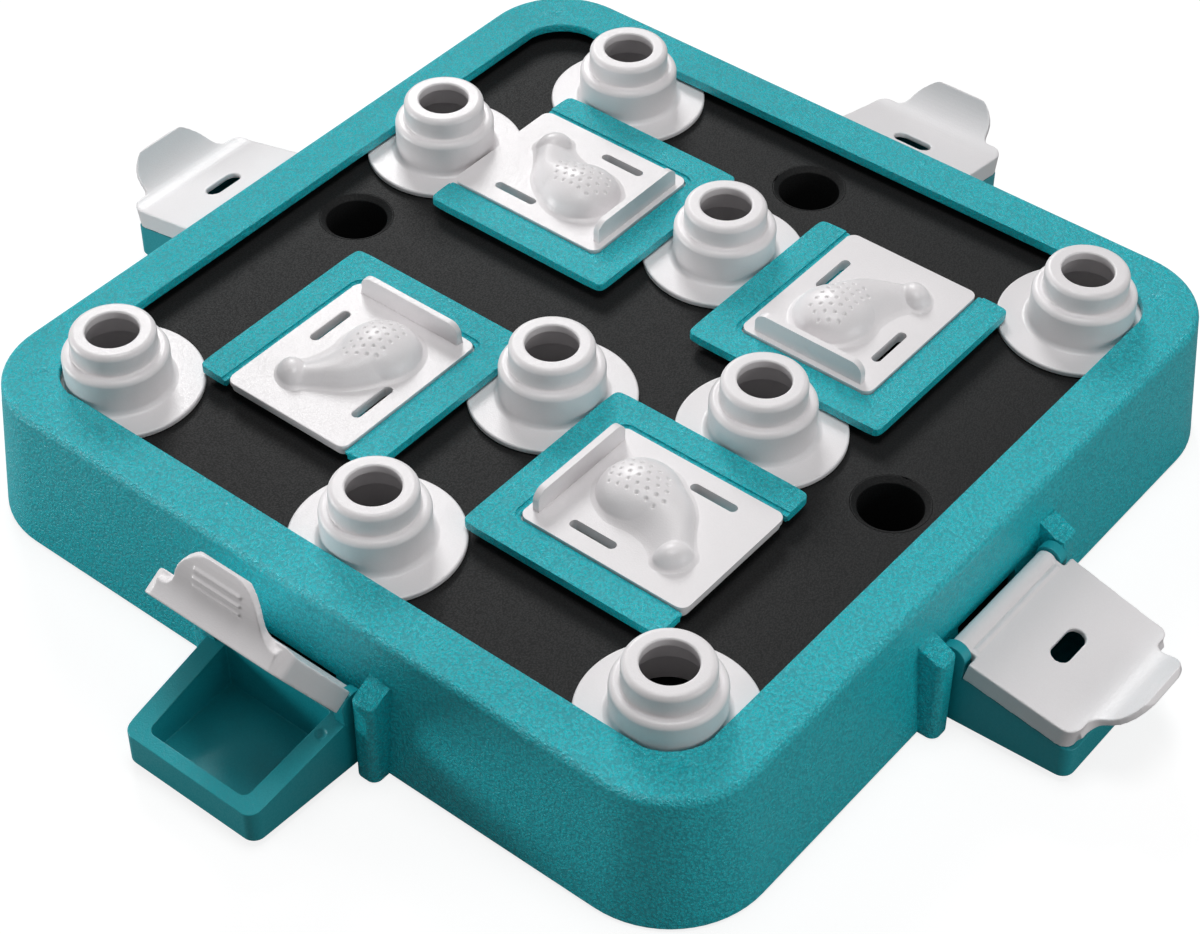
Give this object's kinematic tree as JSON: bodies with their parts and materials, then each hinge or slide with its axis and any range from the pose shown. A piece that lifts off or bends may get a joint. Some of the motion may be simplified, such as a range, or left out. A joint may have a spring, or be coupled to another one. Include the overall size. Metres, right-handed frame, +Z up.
{
  "type": "dog puzzle feeder toy",
  "caption": "Square tray whose flanged pegs slide along lanes round drumstick-grip sliding covers over treat pockets, with a lidded treat box on each side.",
  "frame": {"origin": "middle of the tray, on the plane that its rubber feet stand on", "axes": "+Z up from the table; -Y towards the side whose flip lid stands open; +X towards the side at its right"},
  "size_m": [0.4016, 0.388, 0.0782],
  "materials": {
    "teal_grained": "fine leather grain, satin",
    "teal_smooth": "semi-gloss with fine grain on the flats",
    "white_gloss": "semi-gloss warm white",
    "charcoal_board": "matte",
    "steel": "zinc plated",
    "rubber": "matte"
  },
  "bodies": {
    "tray": {"outer_shell": "teal_grained", "play_board": "charcoal_board", "base_plate": "charcoal_board", "treat_cup_1": "charcoal_board", "treat_cup_2": "charcoal_board", "treat_cup_3": "charcoal_board", "treat_cup_4": "charcoal_board", "treat_pocket_1": "charcoal_board", "treat_pocket_2": "charcoal_board", "treat_pocket_3": "charcoal_board", "treat_pocket_4": "charcoal_board", "frame_1": "teal_smooth", "frame_2": "teal_smooth", "frame_3": "teal_smooth", "frame_4": "teal_smooth", "cover_4": "white_gloss", "treat_box_1": "teal_smooth", "treat_box_2": "teal_smooth", "treat_box_3": "teal_smooth", "treat_box_4": "teal_smooth", "shell_screws": "steel", "board_screws": "steel", "frame_screws": "steel", "rubber_feet": "rubber"},
    "cover_1": {"cover_1": "white_gloss"},
    "cover_2": {"cover_2": "white_gloss"},
    "cover_3": {"cover_3": "white_gloss"},
    "peg_1": {"peg_1": "white_gloss"},
    "peg_2": {"peg_2": "white_gloss"},
    "peg_3": {"peg_3": "white_gloss"},
    "peg_4": {"peg_4": "white_gloss"},
    "peg_5": {"peg_5": "white_gloss"},
    "peg_6": {"peg_6": "white_gloss"},
    "peg_7": {"peg_7": "white_gloss"},
    "peg_8": {"peg_8": "white_gloss"},
    "peg_9": {"peg_9": "white_gloss"},
    "lid_1": {"flip_lid_1": "white_gloss"},
    "lid_2": {"flip_lid_2": "white_gloss"},
    "lid_3": {"flip_lid_3": "white_gloss"},
    "lid_4": {"flip_lid_4": "white_gloss"}
  },
  "joints": [
    {"name": "cover_1_slide", "type": "slide", "parent": "tray", "child": "cover_1", "axis": [0, -1, 0], "range_m": [0, 0.0339]},
    {"name": "cover_2_slide", "type": "slide", "parent": "tray", "child": "cover_2", "axis": [1, 0, 0], "range_m": [0, 0.0339]},
    {"name": "cover_3_slide", "type": "slide", "parent": "tray", "child": "cover_3", "axis": [0, 1, 0], "range_m": [0, 0.0339]},
    {"name": "peg_1_slide", "type": "slide", "parent": "tray", "child": "peg_1", "axis": [1, 0, 0], "range_m": [-0.0291, 0.0518]},
    {"name": "peg_2_slide", "type": "slide", "parent": "tray", "child": "peg_2", "axis": [0, 1, 0], "range_m": [-0.097, 0.017]},
    {"name": "peg_3_slide", "type": "slide", "parent": "tray", "child": "peg_3", "axis": [0, 1, 0], "range_m": [-0.0329, 0]},
    {"name": "peg_4_slide", "type": "slide", "parent": "tray", "child": "peg_4", "axis": [0, 1, 0], "range_m": [-0.0788, 0.0023]},
    {"name": "peg_5_slide", "type": "slide", "parent": "tray", "child": "peg_5", "axis": [0, 1, 0], "range_m": [0, 0.097]},
    {"name": "peg_6_slide", "type": "slide", "parent": "tray", "child": "peg_6", "axis": [0, 1, 0], "range_m": [-0.0256, 0.0329]},
    {"name": "peg_7_slide", "type": "slide", "parent": "tray", "child": "peg_7", "axis": [1, 0, 0], "range_m": [-0.0125, 0.047]},
    {"name": "peg_8_slide", "type": "slide", "parent": "tray", "child": "peg_8", "axis": [0, 1, 0], "range_m": [0, 0.0256]},
    {"name": "peg_9_slide", "type": "slide", "parent": "tray", "child": "peg_9", "axis": [1, 0, 0], "range_m": [-0.0527, 0]},
    {"name": "lid_1_hinge", "type": "hinge", "parent": "tray", "child": "lid_1", "pos_m": [0, -0.14685, 0.0272], "axis": [-1, 0, 0], "range_deg": [-70, 35]},
    {"name": "lid_2_hinge", "type": "hinge", "parent": "tray", "child": "lid_2", "pos_m": [0.14685, 0, 0.0272], "axis": [0, -1, 0], "range_deg": [0, 105]},
    {"name": "lid_3_hinge", "type": "hinge", "parent": "tray", "child": "lid_3", "pos_m": [0, 0.14685, 0.0272], "axis": [1, 0, 0], "range_deg": [0, 105]},
    {"name": "lid_4_hinge", "type": "hinge", "parent": "tray", "child": "lid_4", "pos_m": [-0.14685, 0, 0.0272], "axis": [0, 1, 0], "range_deg": [0, 105]}
  ]
}
